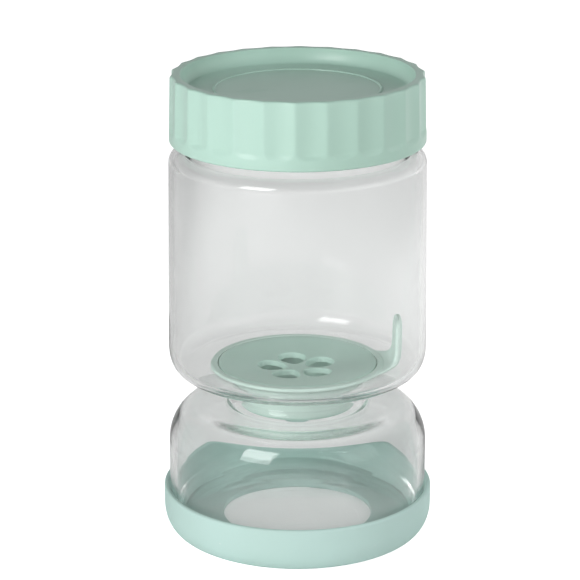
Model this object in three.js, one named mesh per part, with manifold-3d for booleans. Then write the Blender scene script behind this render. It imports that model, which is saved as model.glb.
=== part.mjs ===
// Hourglass pickle keeper: a glass jar with two chambers, a screw lid, a lift-out strainer and a
// soft base sleeve. Millimetres, +Z up, origin in the middle of the underside. The strainer's lift
// tab points along +X, and the jar is looked at from -Y.
import * as THREE from 'three';
import { mergeVertices } from 'three/addons/utils/BufferGeometryUtils.js';
import Module from 'manifold-3d';

const wasm = await Module();
wasm.setup();

// Gaps between pieces, and how far a cutter runs past what it cuts
const seatGap = 0.3;
const overrun = 1;

// Glass jar, from its foot upwards
const glassWall = 2.4;
const glassFloor = 4.5;
const puntRadius = 38;
const puntDepth = 0.8;
const lowerRadius = 51.1;
const heelWidth = 3.6;
const heelHeight = 7.7;
const innerHeel = 6;
const lowerHeight = 50.7;
const domeCornerWidth = 14.4;
const domeCornerHeight = 16.4;
const domeWall = 3;
const innerDomeWidth = 14.7;
const innerDomeFullness = 3.2;
const neckBore = 22;
const neckWall = 3;
const waistFillet = 4.6;
const waistFootFillet = 5.8;
const funnelFilletShare = 0.487;
const flareFilletShare = 0.319;
const funnelRise = 2.5;
const chamberFootRadius = 50.9;
const chamberTopRadius = 50;
const chamberCornerWidth = 8;
const chamberCornerHeight = 12;
const chamberCornerFullness = 2.6;
const chamberHeight = 84.6;
const shoulderHeight = 4.5;
const shoulderWidth = 5.6;
const shoulderWall = 1.5;
const finishWall = 2.6;
const finishHeight = 18;
const lipRounding = 1.2;

// Screw thread, alike on the jar's mouth and in the lid
const threadStarts = 2;
const threadLead = 9;
const threadHeight = 1.1;
const threadBase = 2.4;
const threadCrest = 1.1;
const threadClearance = 0.4;
const threadFootGap = 4.2;
const threadStartTurns = 0.125;
const jarThreadTurns = 0.92;
const lidThreadTurns = 0.55;
const lidThreadDelayTurns = 0.25;
const threadFadeSteps = 3;
const threadEndShare = 0.1;

// Lid: gasket, threaded liner and fluted cover
const gasketThickness = 1.8;
const gasketMargin = 0.1;
const gasketRounding = 0.5;
const linerWall = 1.1;
const linerPlate = 1.6;
const plugRibWidth = 0.8;
const coverPlate = 1.8;
const coverHeight = 26.2;
const coverTopWall = 1.85;
const coverFootWall = 2.4;
const coverEdgeRounding = 0.9;
const coverHeelWidth = 0.8;
const coverHeelHeight = 0.8;
const recessDepth = 5.9;
const rimWidth = 3.2;
const coveWidth = 3;
const reliefWidth = 4;
const reliefInset = 1;
const reliefHeightShare = 0.75;
const lidRingRadius = 32;
const lidRingWidth = 1.2;
const lidRingHeight = 0.5;
const fluteCount = 26;
const fluteDepth = 0.9;
const fluteFootHeight = 3.8;
const fluteScoopHeight = 2.4;
const fluteTurn = THREE.MathUtils.degToRad(5.7);

// Strainer: plate with petal holes, held in a soft seal with a collar and a lift tab
const plateRadius = 31.3;
const plateThickness = 1.15;
const hubThickness = 2;
const plateRim = 1.8;
const dishDepth = 2.6;
const sealWall = 0.8;
const sealRingWidth = 2.8;
const sealRounding = 0.6;
const collarDrop = 7.8;
const skirtWall = 1.4;
const snapBeadHeight = 1.1;
const snapBeadProud = 0.8;
const petalCount = 5;
const petalTipRadius = 4;
const petalLength = 11.7;
const petalWidth = 11;
const petalTurn = THREE.MathUtils.degToRad(29.5);
// Each curve of a petal's outline: its two handles and its end, along and across the petal
const petalCurveShares = [
  [[0, -0.15], [0.3, -0.5], [0.6, -0.5]],
  [[0.85, -0.5], [1, -0.25], [1, 0]],
  [[1, 0.25], [0.85, 0.5], [0.6, 0.5]],
  [[0.3, 0.5], [0, 0.15], [0, 0]],
];
const tabOffset = 4.1;
const tabThickness = 2.8;
const tabHeight = 18.5;
const tabWidth = 17;
const tabBend = 5;
const tabCorner = 6;
const tabRootAngle = THREE.MathUtils.degToRad(29);

// Base sleeve
const sleeveWall = 2;
const sleeveHeight = 18;
const sleeveHoleRadius = 30;
const sleeveRounding = 0.8;

// How finely round shapes are cut into flats
const facets = 40;
const facetsPerFlute = 4;
const cornerSteps = 3;
const edgeSteps = 2;
const curveSteps = 5;
const scoopSteps = 4;

// Heights and radii that follow from the sizes above
const glassFoot = sleeveWall + seatGap;
const glassFloorTop = glassFoot + glassFloor;
const domeTop = glassFoot + lowerHeight;
const waistHeight = domeTop + waistFootFillet;
const chamberOuterFoot = waistHeight + waistFillet + funnelRise;
const chamberWallFoot = chamberOuterFoot + chamberCornerHeight;
const shoulderFoot = chamberOuterFoot + chamberHeight;
const shoulderTop = shoulderFoot + shoulderHeight;
const lipHeight = shoulderTop + finishHeight;
const finishRadius = chamberTopRadius - shoulderWidth;
const mouthRadius = finishRadius - finishWall;
const domeInset = lowerRadius - domeCornerWidth;
const chamberInset = chamberFootRadius - chamberCornerWidth;
const waistInset = neckBore + neckWall + waistFillet;

// The neck's bore: a wide fillet above it and a smaller one under it
const neckFootHeight = domeTop - domeWall;
const neckTopHeight = waistHeight + waistFillet + glassWall;
const neckRoom = neckTopHeight - neckFootHeight;
const funnelFillet = neckRoom * funnelFilletShare;
const flareFillet = neckRoom * flareFilletShare;
const funnelInset = neckBore + funnelFillet;
const funnelCentre = neckTopHeight - funnelFillet;
const chamberFloor = chamberOuterFoot + glassWall;

// Lid levels, stacked on the lip of the jar
const gasketFoot = lipHeight + seatGap;
const gasketTop = gasketFoot + gasketThickness;
const linerFloor = gasketTop + seatGap;
const linerTop = linerFloor + linerPlate;
const coverFloor = linerTop + seatGap;
const recessFloor = coverFloor + coverPlate;
const coverTop = recessFloor + recessDepth;
const coverFoot = coverTop - coverHeight;
const linerFoot = coverFoot + seatGap;
const linerBore = finishRadius + threadHeight + threadClearance;
const linerRadius = linerBore + linerWall;
const coverBore = linerRadius + seatGap;
const coverTopRadius = coverBore + coverTopWall;
const coverFootRadius = coverBore + coverFootWall;

// Strainer levels, resting on the funnel above the neck
const sealSeat = funnelHeightAt(plateRadius) + seatGap;
const plateFoot = sealSeat + sealWall + seatGap;
const strainerTop = plateFoot + plateThickness;
const sealInnerRadius = plateRadius + seatGap;
const sealRadius = sealInnerRadius + sealRingWidth;
const collarRadius = neckBore - seatGap;
const collarBore = collarRadius - sealWall;
const collarFoot = waistHeight - collarDrop;
const skirtRadius = collarBore - seatGap;
const skirtBore = skirtRadius - skirtWall;
const dishRadius = plateRadius - plateRim;

// Height of the chamber's sloping floor at a radius outside the neck's fillet
function funnelHeightAt(radius) {
  const slope = (chamberFloor - neckTopHeight) / (chamberInset - funnelInset);
  return neckTopHeight + (radius - funnelInset) * slope;
}

function point(radius, height) {
  return new THREE.Vector2(radius, height);
}

// Points of an elliptic corner from one angle to another, in quarter turns counted from outwards;
// a fullness over 2 squares it off
function corner(centre, width, height, fromQuarter, toQuarter, steps, fullness = 2) {
  const points = [];
  for (let step = 0; step <= steps; step += 1) {
    const angle = THREE.MathUtils.lerp(fromQuarter, toQuarter, step / steps) * (Math.PI / 2);
    const across = Math.sign(Math.cos(angle)) * Math.abs(Math.cos(angle)) ** (2 / fullness);
    const up = Math.sign(Math.sin(angle)) * Math.abs(Math.sin(angle)) ** (2 / fullness);
    points.push(point(centre.x + width * across, centre.y + height * up));
  }
  return points;
}

// Turns an outline of radius and height around the upright axis
function turned(outline, count = facets) {
  return new THREE.LatheGeometry(outline, count).rotateX(Math.PI / 2);
}

// Turns an outline that goes round a ring, back to its first point
function turnedRing(outline, count = facets) {
  return turned([...outline, outline[0].clone()], count);
}

// Boolean solid from a closed geometry
function toSolid(geometry) {
  const bare = geometry.clone();
  bare.deleteAttribute('normal');
  bare.deleteAttribute('uv');
  const merged = mergeVertices(bare);
  const corners = merged.index.array;
  const kept = [];
  for (let first = 0; first < corners.length; first += 3) {
    const [a, b, c] = corners.slice(first, first + 3);
    if (a !== b && b !== c && c !== a) {
      kept.push(a, b, c);
    }
  }
  const mesh = new wasm.Mesh({
    numProp: 3,
    vertProperties: new Float32Array(merged.getAttribute('position').array),
    triVerts: new Uint32Array(kept),
  });
  return new wasm.Manifold(mesh);
}

function toGeometry(solid) {
  const mesh = solid.getMesh();
  const geometry = new THREE.BufferGeometry();
  geometry.setAttribute('position', new THREE.BufferAttribute(mesh.vertProperties, mesh.numProp));
  geometry.setIndex(new THREE.BufferAttribute(mesh.triVerts, 1));
  geometry.computeVertexNormals();
  return geometry;
}

// One ridge of thread: a section carried up the helix, which fades into the wall at both ends.
// The section's corners are its root and crest, listed anticlockwise seen with radius to the right.
function threadRidge({ root, crest, onBore, startTurn, startHeight, turns }) {
  const steps = Math.round(turns * facets);
  const positions = [];
  const triangles = [];
  for (let step = 0; step <= steps; step += 1) {
    const turn = startTurn + step / facets;
    const middle = startHeight + (threadLead * step) / facets;
    const inner = Math.min(step, steps - step) / threadFadeSteps;
    const share = Math.min(1, Math.max(inner, threadEndShare));
    const tip = THREE.MathUtils.lerp(root, crest, share);
    const section = [
      point(root, middle - threadBase / 2),
      point(tip, middle - threadCrest / 2),
      point(tip, middle + threadCrest / 2),
      point(root, middle + threadBase / 2),
    ];
    if (onBore) {
      section.reverse();
    }
    for (const { x: radius, y: height } of section) {
      const angle = turn * Math.PI * 2;
      positions.push(radius * Math.cos(angle), radius * Math.sin(angle), height);
    }
  }
  const sides = 4;
  for (let step = 0; step < steps; step += 1) {
    for (let side = 0; side < sides; side += 1) {
      const here = step * sides + side;
      const beside = step * sides + ((side + 1) % sides);
      triangles.push(here, here + sides, beside);
      triangles.push(beside, here + sides, beside + sides);
    }
  }
  const last = steps * sides;
  triangles.push(0, 1, 2, 0, 2, 3);
  triangles.push(last, last + 2, last + 1, last, last + 3, last + 2);
  const geometry = new THREE.BufferGeometry();
  geometry.setAttribute('position', new THREE.Float32BufferAttribute(positions, 3));
  geometry.setIndex(triangles);
  return geometry;
}

// Adds the ridges of a thread to a wall, evenly round it
function withThread(wall, ridge) {
  let solid = toSolid(wall);
  for (let start = 0; start < threadStarts; start += 1) {
    const startTurn = ridge.startTurn + start / threadStarts;
    solid = solid.add(toSolid(threadRidge({ ...ridge, startTurn })));
  }
  return toGeometry(solid);
}

// Height of the jar's thread where it starts, and how far the lid's thread sits under it
const jarThreadFoot = shoulderTop + threadFootGap + threadBase / 2;
const threadSpacing = (threadBase + threadCrest) / 2 + seatGap;

function glassJar() {
  const heelCentre = point(lowerRadius - heelWidth, glassFoot + heelHeight);
  const domeCentre = point(domeInset, domeTop - domeCornerHeight);
  const waistCentre = point(waistInset, waistHeight);
  const footCentre = point(chamberInset, chamberWallFoot);
  const shoulderCentre = point(finishRadius, shoulderFoot);
  const lipCentre = point(finishRadius - lipRounding, lipHeight - lipRounding);
  const lipInner = point(mouthRadius + lipRounding, lipHeight - lipRounding);
  const mouthCentre = point(mouthRadius, shoulderFoot);
  const mouthBulge = chamberTopRadius - glassWall - mouthRadius;
  const flareCentre = point(neckBore + flareFillet, neckFootHeight + flareFillet);
  const floorCentre = point(lowerRadius - glassWall - innerHeel, glassFloorTop + innerHeel);
  const fullness = chamberCornerFullness;
  const footWidth = chamberCornerWidth - glassWall;
  const footHeight = chamberCornerHeight - glassWall;
  const innerDomeCentre = point(lowerRadius - glassWall - innerDomeWidth, domeCentre.y);
  const innerDomeHeight = domeCornerHeight - domeWall;
  const innerDome = [innerDomeCentre, innerDomeWidth, innerDomeHeight];
  const outline = [
    point(0, glassFoot + puntDepth),
    point(puntRadius, glassFoot),
    ...corner(heelCentre, heelWidth, heelHeight, -1, 0, cornerSteps),
    ...corner(domeCentre, domeCornerWidth, domeCornerHeight, 0, 1, curveSteps),
    ...corner(waistCentre, waistFillet, waistFootFillet, 3, 2, edgeSteps),
    ...corner(waistCentre, waistFillet, waistFillet, 2, 1, edgeSteps),
    ...corner(footCentre, chamberCornerWidth, chamberCornerHeight, -1, 0, curveSteps, fullness),
    ...corner(shoulderCentre, chamberTopRadius - finishRadius, shoulderHeight, 0, 1, cornerSteps),
    ...corner(lipCentre, lipRounding, lipRounding, 0, 1, edgeSteps),
    ...corner(lipInner, lipRounding, lipRounding, 1, 2, edgeSteps),
    ...corner(mouthCentre, mouthBulge, shoulderHeight - shoulderWall, 1, 0, cornerSteps),
    ...corner(footCentre, footWidth, footHeight, 0, -1, curveSteps, fullness),
    ...corner(point(funnelInset, funnelCentre), funnelFillet, funnelFillet, 1, 2, cornerSteps),
    ...corner(flareCentre, flareFillet, flareFillet, 2, 3, cornerSteps),
    ...corner(...innerDome, 1, 0, curveSteps, innerDomeFullness),
    ...corner(floorCentre, innerHeel, innerHeel, 0, -1, cornerSteps),
    point(0, glassFloorTop),
  ];
  return withThread(turned(outline), {
    root: finishRadius - threadClearance,
    crest: finishRadius + threadHeight,
    onBore: false,
    startTurn: threadStartTurns,
    startHeight: jarThreadFoot,
    turns: jarThreadTurns,
  });
}

function lidGasket() {
  const inner = mouthRadius - gasketMargin;
  const outer = linerBore - seatGap - gasketMargin;
  const low = gasketFoot + gasketRounding;
  const high = gasketTop - gasketRounding;
  const round = gasketRounding;
  return turnedRing([
    ...corner(point(inner + round, low), round, round, 2, 3, 1),
    ...corner(point(outer - round, low), round, round, -1, 0, 1),
    ...corner(point(outer - round, high), round, round, 0, 1, 1),
    ...corner(point(inner + round, high), round, round, 1, 2, 1),
  ]);
}

function lidLiner() {
  const ribRadius = mouthRadius - gasketMargin - seatGap;
  const wall = turned([
    point(0, linerFloor),
    point(ribRadius - plugRibWidth, linerFloor),
    point(ribRadius - plugRibWidth, gasketFoot),
    point(ribRadius, gasketFoot),
    point(ribRadius, linerFloor),
    point(linerBore, linerFloor),
    point(linerBore, linerFoot),
    point(linerRadius, linerFoot),
    point(linerRadius, linerTop - linerWall),
    point(linerRadius - linerWall, linerTop),
    point(0, linerTop),
  ]);
  return withThread(wall, {
    root: linerBore + threadClearance,
    crest: linerBore - threadHeight,
    onBore: true,
    startTurn: threadStartTurns + lidThreadDelayTurns,
    startHeight: jarThreadFoot - threadSpacing + threadLead * lidThreadDelayTurns,
    turns: lidThreadTurns,
  });
}

// How far the grip's flutes cut into the cover at an angle and a height: concave across each flute,
// with a rounded scoop at its foot
function fluteDepthAt(angle, height) {
  const place = (angle * fluteCount) / (Math.PI * 2);
  const across = 2 * (place - Math.floor(place)) - 1;
  const foot = coverFoot + fluteFootHeight + fluteScoopHeight * across ** 4;
  const rise = THREE.MathUtils.smoothstep(height, foot, foot + fluteScoopHeight);
  return fluteDepth * (1 - across ** 2) * rise;
}

function lidCover() {
  const edge = coverEdgeRounding;
  const rimInner = coverTopRadius - edge - rimWidth;
  const coveCentre = point(rimInner - coveWidth, coverTop);
  const heelCentre = point(coverFootRadius - coverHeelWidth, coverFoot + coverHeelHeight);
  const scoopFoot = coverFoot + fluteFootHeight;
  const outline = [
    point(0, coverFloor),
    point(coverBore - reliefWidth, coverFloor),
    point(coverBore - reliefInset, coverFloor + recessDepth * reliefHeightShare),
    point(coverBore, coverFloor),
    point(coverBore, coverFoot),
    ...corner(heelCentre, coverHeelWidth, coverHeelHeight, -1, 0, cornerSteps),
  ];
  // The scoops' feet need a few levels of their own to take their shape
  const gripTop = coverTop - edge;
  const gripFoot = heelCentre.y;
  for (let step = 1; step <= scoopSteps; step += 1) {
    const height = scoopFoot + (2 * fluteScoopHeight * step) / scoopSteps;
    const share = (height - gripFoot) / (gripTop - gripFoot);
    outline.push(point(THREE.MathUtils.lerp(coverFootRadius, coverTopRadius, share), height));
  }
  outline.push(
    ...corner(point(coverTopRadius - edge, gripTop), edge, edge, 0, 1, edgeSteps),
    ...corner(coveCentre, coveWidth, recessDepth, 0, -1, cornerSteps),
    ...corner(point(lidRingRadius, recessFloor), lidRingWidth / 2, lidRingHeight, 0, 2, 2 * edgeSteps),
    point(0, recessFloor),
  );
  const geometry = turned(outline, fluteCount * facetsPerFlute);
  const position = geometry.getAttribute('position');
  for (let index = 0; index < position.count; index += 1) {
    const x = position.getX(index);
    const y = position.getY(index);
    const radius = Math.hypot(x, y);
    if (radius > coverBore + seatGap / 2) {
      const depth = fluteDepthAt(Math.atan2(y, x), position.getZ(index));
      const share = (radius - depth) / radius;
      position.setXY(index, x * share, y * share);
    }
  }
  return geometry.rotateZ(fluteTurn);
}

// Outline of one petal hole, pointing outwards along X from its tip
function petalShape() {
  const shape = new THREE.Shape();
  shape.moveTo(petalTipRadius, 0);
  for (const curve of petalCurveShares) {
    const [first, second, end] = curve.map(([along, across]) => (
      point(petalTipRadius + petalLength * along, petalWidth * across)
    ));
    shape.bezierCurveTo(first.x, first.y, second.x, second.y, end.x, end.y);
  }
  return shape;
}

function dishHeightAt(radius) {
  return strainerTop - dishDepth * (1 - (radius / dishRadius) ** 2);
}

function strainerPlate() {
  const dish = [];
  for (let step = 0; step <= curveSteps; step += 1) {
    const radius = (dishRadius * step) / curveSteps;
    dish.push(point(radius, dishHeightAt(radius)));
  }
  const lowered = (radius) => dishHeightAt(radius) - plateThickness;
  const hubFoot = (radius) => dishHeightAt(radius) - hubThickness;
  const beadTop = collarFoot - seatGap;
  const outline = [
    ...dish.filter(({ x }) => x < skirtBore).map(({ x }) => point(x, hubFoot(x))),
    point(skirtBore, hubFoot(skirtBore)),
    point(skirtBore, beadTop - snapBeadHeight),
    point(skirtRadius, beadTop - snapBeadHeight),
    point(skirtRadius + snapBeadProud, beadTop - snapBeadHeight / 2),
    point(skirtRadius + snapBeadProud, beadTop),
    point(skirtRadius, beadTop),
    point(skirtRadius, lowered(skirtRadius)),
    ...dish.filter(({ x }) => x > skirtRadius).map(({ x }) => point(x, lowered(x))),
    point(plateRadius, plateFoot),
    point(plateRadius, strainerTop),
    ...dish.reverse(),
  ];
  let plate = toSolid(turned(outline));
  const depth = hubThickness + dishDepth + 2 * overrun;
  const cutter = new THREE.ExtrudeGeometry(petalShape(), {
    depth,
    bevelEnabled: false,
    curveSegments: cornerSteps,
  });
  cutter.translate(0, 0, strainerTop + overrun - depth);
  for (let petal = 0; petal < petalCount; petal += 1) {
    const angle = petalTurn + (petal * Math.PI * 2) / petalCount;
    plate = plate.subtract(toSolid(cutter.clone().rotateZ(angle)));
  }
  return toGeometry(plate);
}

// Lift tab: a strap that leaves the seal's ring, bends up and follows the wall of the jar. It is
// turned as a ring from its side outline, then trimmed by its outlines from above and in front.
function liftTab() {
  const face = sealRadius + tabOffset;
  const back = face + tabThickness;
  const bendInset = back - tabBend;
  const foot = funnelHeightAt(face) + seatGap;
  const bendCentre = point(bendInset, foot + tabBend);
  const tip = strainerTop + tabHeight;
  const tipRadius = tabThickness / 2;
  const root = sealRadius - sealRingWidth / 2;
  const side = turnedRing([
    point(root, foot),
    ...corner(bendCentre, tabBend, tabBend, -1, 0, cornerSteps),
    ...corner(point(back - tipRadius, tip - tipRadius), tipRadius, tipRadius, 0, 2, curveSteps),
    ...corner(bendCentre, face - bendInset, bendCentre.y - strainerTop, 0, -1, cornerSteps),
    point(root, strainerTop),
  ]);

  const half = tabWidth / 2;
  const rootX = sealRadius * Math.cos(tabRootAngle);
  const rootY = sealRadius * Math.sin(tabRootAngle);
  const meetX = rootX + (rootY - half) * Math.tan(tabRootAngle);
  const plan = new THREE.Shape();
  plan.moveTo(0, 0);
  plan.lineTo(rootX, -rootY);
  plan.quadraticCurveTo(meetX, -half, back, -half);
  plan.lineTo(back + overrun, -half);
  plan.lineTo(back + overrun, half);
  plan.lineTo(back, half);
  plan.quadraticCurveTo(meetX, half, rootX, rootY);
  const fromAbove = new THREE.ExtrudeGeometry(plan, {
    depth: tip - foot + 2 * overrun,
    bevelEnabled: false,
    curveSegments: curveSteps,
  });
  fromAbove.translate(0, 0, foot - overrun);

  const front = new THREE.Shape();
  front.moveTo(-rootY - overrun, foot - overrun);
  front.lineTo(rootY + overrun, foot - overrun);
  front.lineTo(rootY + overrun, strainerTop + tabBend);
  front.lineTo(half, strainerTop + tabBend);
  front.lineTo(half, tip - tabCorner);
  front.quadraticCurveTo(half, tip, half - tabCorner, tip);
  front.lineTo(tabCorner - half, tip);
  front.quadraticCurveTo(-half, tip, -half, tip - tabCorner);
  front.lineTo(-half, strainerTop + tabBend);
  front.lineTo(-rootY - overrun, strainerTop + tabBend);
  const inFront = new THREE.ExtrudeGeometry(front, {
    depth: back + overrun,
    bevelEnabled: false,
    curveSegments: cornerSteps,
  });
  const facingOut = new THREE.Matrix4().makeBasis(
    new THREE.Vector3(0, 1, 0),
    new THREE.Vector3(0, 0, 1),
    new THREE.Vector3(1, 0, 0),
  );
  inFront.applyMatrix4(facingOut);
  return toSolid(side).intersect(toSolid(fromAbove)).intersect(toSolid(inFront));
}

function strainerSeal() {
  const round = sealRounding;
  const under = funnelHeightAt(sealRadius) + seatGap;
  const ringTop = strainerTop - round;
  const sealFillet = funnelFillet + seatGap;
  const funnel = point(funnelInset, funnelCentre);
  const webFillet = sealFillet + sealWall;
  const ring = turnedRing([
    point(collarBore, collarFoot),
    point(collarRadius, collarFoot),
    ...corner(funnel, sealFillet, sealFillet, 2, 1, cornerSteps),
    point(sealRadius - round, under),
    ...corner(point(sealRadius - round, under + round), round, round, -1, 0, edgeSteps),
    ...corner(point(sealRadius - round, ringTop), round, round, 0, 1, edgeSteps),
    point(sealInnerRadius, strainerTop),
    point(sealInnerRadius, sealSeat + sealWall),
    ...corner(funnel, webFillet, webFillet, 1, 2, cornerSteps),
  ]);
  return toGeometry(toSolid(ring).add(liftTab()));
}

function baseSleeve() {
  const round = sleeveRounding;
  const bore = lowerRadius + seatGap;
  const outer = bore + sleeveWall;
  const heelCentre = point(lowerRadius - heelWidth, glassFoot + heelHeight);
  const inset = heelWidth + seatGap;
  const drop = heelHeight + seatGap;
  const rimLow = sleeveHeight - round;
  return turnedRing([
    point(sleeveHoleRadius, 0),
    ...corner(heelCentre, inset + sleeveWall, drop + sleeveWall, -1, 0, cornerSteps),
    ...corner(point(outer - round, rimLow), round, round, 0, 1, edgeSteps),
    ...corner(point(bore + round, rimLow), round, round, 1, 2, edgeSteps),
    ...corner(heelCentre, inset, drop, 0, -1, cornerSteps),
    point(sleeveHoleRadius, sleeveWall),
  ]);
}

const finishes = {
  glass: { color: 0xe3e8e6, roughness: 0.05, metalness: 0, transparent: true, opacity: 0.3 },
  mint: { color: 0xb2d6c4, roughness: 0.35, metalness: 0 },
  innerMint: { color: 0xa6c9b8, roughness: 0.4, metalness: 0 },
  paleSilicone: { color: 0xc9e2d6, roughness: 0.6, metalness: 0 },
  clearSilicone: { color: 0xdfe8e3, roughness: 0.55, metalness: 0 },
  sleeveSilicone: { color: 0xbfddd3, roughness: 0.7, metalness: 0 },
};

const keeper = new THREE.Group();

function addPiece(name, geometry, finish) {
  const mesh = new THREE.Mesh(geometry, new THREE.MeshStandardMaterial(finish));
  mesh.name = name;
  keeper.add(mesh);
}

addPiece('base_sleeve', baseSleeve(), finishes.sleeveSilicone);
addPiece('glass_jar', glassJar(), finishes.glass);
addPiece('strainer_plate', strainerPlate(), finishes.innerMint);
addPiece('strainer_seal', strainerSeal(), finishes.paleSilicone);
addPiece('lid_gasket', lidGasket(), finishes.clearSilicone);
addPiece('lid_liner', lidLiner(), finishes.mint);
addPiece('lid_cover', lidCover(), finishes.mint);

export default keeper;
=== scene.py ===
# %% [markdown]
# A keeper for pickles: an hourglass jar of clear glass, a screw lid of moulded plastic, a strainer
# with a soft seal that is lifted by its tab, and a soft sleeve round the foot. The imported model
# gives the frame: every piece is made in metres, in the place where its solid stands, and rides on
# the same body. Sizes below are in millimetres and are turned into metres as they are used.

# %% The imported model
import math

import bmesh
import bpy
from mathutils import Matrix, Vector


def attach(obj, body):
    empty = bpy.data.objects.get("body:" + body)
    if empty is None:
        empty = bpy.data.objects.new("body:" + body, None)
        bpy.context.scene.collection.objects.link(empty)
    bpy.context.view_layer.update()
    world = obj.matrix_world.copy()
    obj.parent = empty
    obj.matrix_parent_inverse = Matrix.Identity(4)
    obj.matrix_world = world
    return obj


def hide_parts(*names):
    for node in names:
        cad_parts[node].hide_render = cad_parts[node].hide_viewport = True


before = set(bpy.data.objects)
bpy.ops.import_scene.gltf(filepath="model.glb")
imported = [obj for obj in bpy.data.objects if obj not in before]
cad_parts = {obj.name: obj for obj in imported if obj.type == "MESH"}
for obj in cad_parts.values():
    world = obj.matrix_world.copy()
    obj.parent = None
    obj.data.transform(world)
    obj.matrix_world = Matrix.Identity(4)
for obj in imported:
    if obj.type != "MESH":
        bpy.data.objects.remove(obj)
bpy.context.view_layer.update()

MM = 0.001
FULL_TURN = 2 * math.pi
scene = bpy.context.scene

# %% [markdown]
# The camera stands where the photographer stood: about a metre in front, above the lid and tilted
# down by some 18 degrees. A long lens keeps the jar's sides almost upright. The place and the
# angle were worked out from the ellipses of the lid and the foot, so no lens shift is needed.

# %% Camera
CAMERA_PLACE = (-0.00298, -0.950466, 0.402267)
CAMERA_TILT = 0.31
FOCAL_LENGTH = 157.7
SENSOR_WIDTH = 36

camera_data = bpy.data.cameras.new("camera")
camera_data.lens = FOCAL_LENGTH
camera_data.sensor_width = SENSOR_WIDTH
camera = bpy.data.objects.new("camera", camera_data)
camera.location = CAMERA_PLACE
camera.rotation_euler = (math.pi / 2 - CAMERA_TILT, 0, 0)
scene.collection.objects.link(camera)
scene.camera = camera
scene.view_settings.view_transform = "Standard"
print("lens:", FOCAL_LENGTH, "mm, tilted down by", round(math.degrees(CAMERA_TILT), 1), "degrees")

# %% [markdown]
# Glass and satin plastic show what stands around them, so the studio is as much a part of the
# finish as the materials are. The floor is a pale sheet that keeps the soft shadow. The camera
# sees it lifted to white by a light of its own, which doesn't light the keeper. Rays that glass or
# gloss sends on see less of that lift, which gives the glass its grey. Close behind the jar and to
# its left they see less still. That dimming is painted shade on the floor's glow: it stands in for
# the jar's shadow behind it and darkens the left. The room is bright near the horizon and dark
# overhead, as it is next to a tall window, which leaves the flat of the lid darker than its sides.

# %% Floor
FLOOR_SIZE = 8.0
FLOOR_DROP = 0.0002
FLOOR_COLOUR = (0.86, 0.86, 0.86, 1)
CAMERA_LIFT = 1.0
MIRROR_LIFT = 0.51
PAINTED_SHADE_NEAR_SHARE = 0.4
NEAR_TO_FAR = (0.0, 0.45)
PAINTED_SHADE_LEFT_SHARE = 0.55
LEFT_TO_MIDDLE = (-0.13, -0.05)

bpy.ops.object.select_all(action="DESELECT")
bpy.ops.mesh.primitive_plane_add(size=FLOOR_SIZE, location=(0, 0, -FLOOR_DROP))
floor = bpy.context.object
floor.name = "studio_floor"
paper = bpy.data.materials.new("pale_paper")
paper.use_nodes = True
nodes, links = paper.node_tree.nodes, paper.node_tree.links
shader = nodes["Principled BSDF"]
shader.inputs["Base Color"].default_value = FLOOR_COLOUR
shader.inputs["Roughness"].default_value = 0.9
shader.inputs["Specular IOR Level"].default_value = 0.0
shader.inputs["Emission Color"].default_value = (1, 1, 1, 1)


def worked_out(nodes, links, operation, first, second):
    """What a Math node makes of one value and another value or a number."""
    calculation = nodes.new("ShaderNodeMath")
    calculation.operation = operation
    links.new(first, calculation.inputs[0])
    if isinstance(second, float):
        calculation.inputs[1].default_value = second
    else:
        links.new(second, calculation.inputs[1])
    return calculation.outputs["Value"]


def seen_by(nodes, links, to_camera, to_mirrors, otherwise):
    """A number that differs for camera rays and for rays that glass or gloss sends on."""
    rays = nodes.new("ShaderNodeLightPath").outputs
    sent_on = worked_out(
        nodes, links, "MAXIMUM", rays["Is Glossy Ray"], rays["Is Transmission Ray"]
    )
    value = otherwise
    for wanted, given in ((sent_on, to_mirrors), (rays["Is Camera Ray"], to_camera)):
        choice = nodes.new("ShaderNodeMix")
        for label, amount in (("A", value), ("B", given)):
            if isinstance(amount, float):
                choice.inputs[label].default_value = amount
            else:
                links.new(amount, choice.inputs[label])
        links.new(wanted, choice.inputs["Factor"])
        value = choice.outputs["Result"]
    return value


def fade(nodes, links, source, stretch, before=0.0, after=1.0):
    """A value that goes smoothly from one amount to another while its source crosses a stretch."""
    change = nodes.new("ShaderNodeMapRange")
    change.interpolation_type = "SMOOTHSTEP"
    change.inputs["From Min"].default_value, change.inputs["From Max"].default_value = stretch
    change.inputs["To Min"].default_value = before
    change.inputs["To Max"].default_value = after
    links.new(source, change.inputs["Value"])
    return change.outputs["Result"]


place = nodes.new("ShaderNodeSeparateXYZ")
links.new(nodes.new("ShaderNodeNewGeometry").outputs["Position"], place.inputs["Vector"])
# Painted shade: the glow that glass sees on the floor is dimmed close behind the jar and to its
# left.
painted_shade_behind = fade(
    nodes, links, place.outputs["Y"], NEAR_TO_FAR, PAINTED_SHADE_NEAR_SHARE * MIRROR_LIFT, MIRROR_LIFT
)
painted_shade_left = fade(nodes, links, place.outputs["X"], LEFT_TO_MIDDLE, PAINTED_SHADE_LEFT_SHARE)
mirrored = worked_out(nodes, links, "MULTIPLY", painted_shade_behind, painted_shade_left)
lift = seen_by(nodes, links, CAMERA_LIFT, mirrored, 0.0)
links.new(lift, shader.inputs["Emission Strength"])
floor.data.materials.append(paper)
print("the floor is", FLOOR_SIZE, "m wide, and glass sees", MIRROR_LIFT, "of its lift")

# %% Room
ROOM_LIGHT = 0.56
MIRROR_ROOM = 0.76
LEFT_ROOM_SHARE = 0.66
LEFT_TO_RIGHT = (-0.8, 0.4)
CEILING_SHARE = 0.02
HORIZON_TO_CEILING = (0.05, 0.75)

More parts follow.
